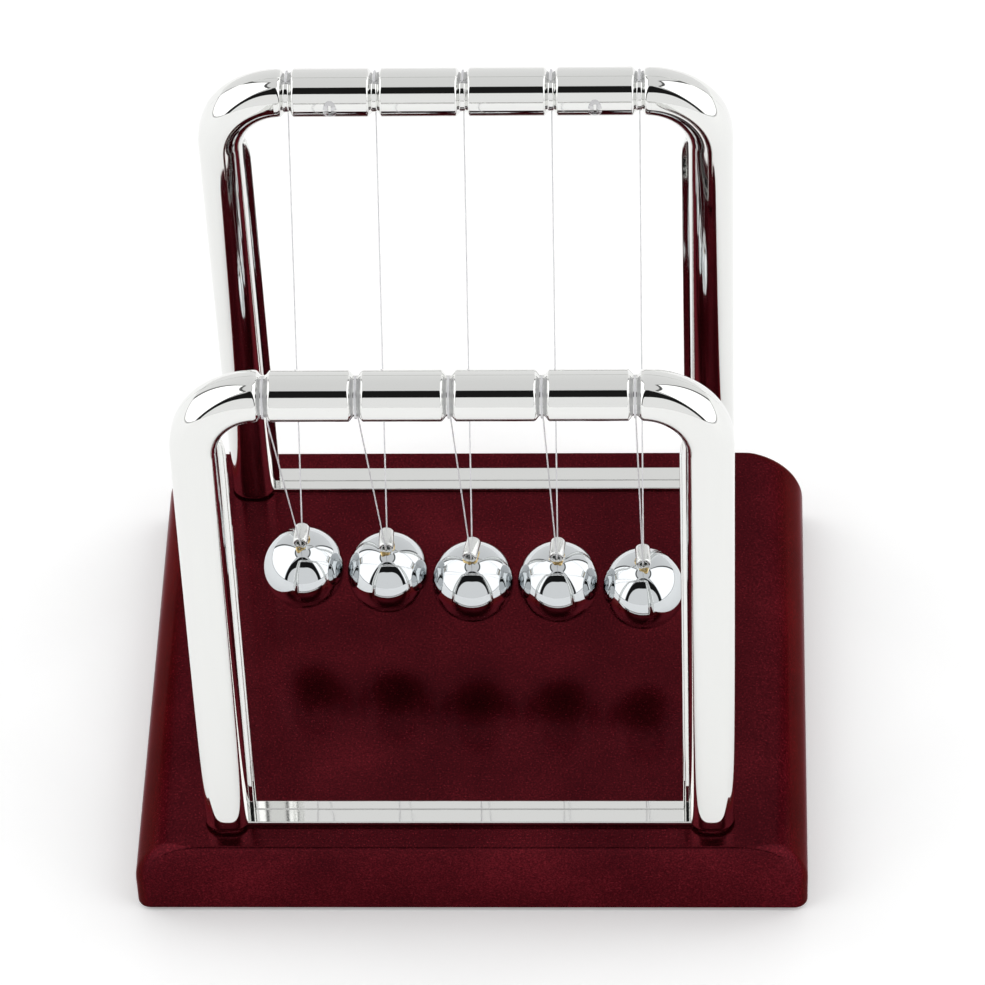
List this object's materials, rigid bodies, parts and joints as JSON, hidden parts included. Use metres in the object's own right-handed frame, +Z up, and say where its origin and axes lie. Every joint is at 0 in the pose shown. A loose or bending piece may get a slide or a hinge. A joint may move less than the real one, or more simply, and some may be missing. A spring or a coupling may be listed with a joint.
{
  "type": "newtons cradle",
  "caption": "Desk toy: a row of steel balls hung on V-shaped lines between two chrome arches on a rounded glossy dark red base",
  "frame": {"origin": "centre of the underside of the base", "axes": "X along the row of balls, Y from the front arch to the rear arch, Z up"},
  "size_m": [0.1288, 0.1048, 0.1324],
  "materials": {
    "base_paint": "dark red metallic gloss",
    "black_plastic": "matt moulded",
    "weight_steel": "plain",
    "foam_pad": "soft matt",
    "screw_steel": "plated",
    "plated_frame": "mirror plating",
    "nylon_line": "clear nylon",
    "ball_steel": "polished",
    "eye_steel": "polished, brazed at its foot"
  },
  "bodies": {
    "stand": {"base_shell": "base_paint", "base_cover": "black_plastic", "base_weight": "weight_steel", "base_pad": "foam_pad", "cover_screws": "screw_steel", "foot_screws": "screw_steel", "front_frame_outer": "plated_frame", "front_frame_inner": "plated_frame", "rear_frame_outer": "plated_frame", "rear_frame_inner": "plated_frame", "front_bar_screws": "screw_steel", "rear_bar_screws": "screw_steel", "front_line_ends": "nylon_line", "rear_line_ends": "nylon_line"},
    "pendulum_1": {"ball_1": "ball_steel", "line_eye_1": "eye_steel", "line_1": "nylon_line"},
    "pendulum_2": {"ball_2": "ball_steel", "line_eye_2": "eye_steel", "line_2": "nylon_line"},
    "pendulum_3": {"ball_3": "ball_steel", "line_eye_3": "eye_steel", "line_3": "nylon_line"},
    "pendulum_4": {"ball_4": "ball_steel", "line_eye_4": "eye_steel", "line_4": "nylon_line"},
    "pendulum_5": {"ball_5": "ball_steel", "line_eye_5": "eye_steel", "line_5": "nylon_line"}
  },
  "joints": [
    {"name": "swing_1", "type": "hinge", "parent": "stand", "child": "pendulum_1", "pos_m": [-0.033, 0, 0.1234], "axis": [0, -1, 0], "range_deg": [-45, 0.18]},
    {"name": "swing_2", "type": "hinge", "parent": "stand", "child": "pendulum_2", "pos_m": [-0.0165, 0, 0.1234], "axis": [0, -1, 0], "range_deg": [-0.18, 0.18]},
    {"name": "swing_3", "type": "hinge", "parent": "stand", "child": "pendulum_3", "pos_m": [0, 0, 0.1234], "axis": [0, -1, 0], "range_deg": [-0.18, 0.18]},
    {"name": "swing_4", "type": "hinge", "parent": "stand", "child": "pendulum_4", "pos_m": [0.0165, 0, 0.1234], "axis": [0, -1, 0], "range_deg": [-0.18, 0.18]},
    {"name": "swing_5", "type": "hinge", "parent": "stand", "child": "pendulum_5", "pos_m": [0.033, 0, 0.1234], "axis": [0, -1, 0], "range_deg": [-0.18, 45]}
  ]
}
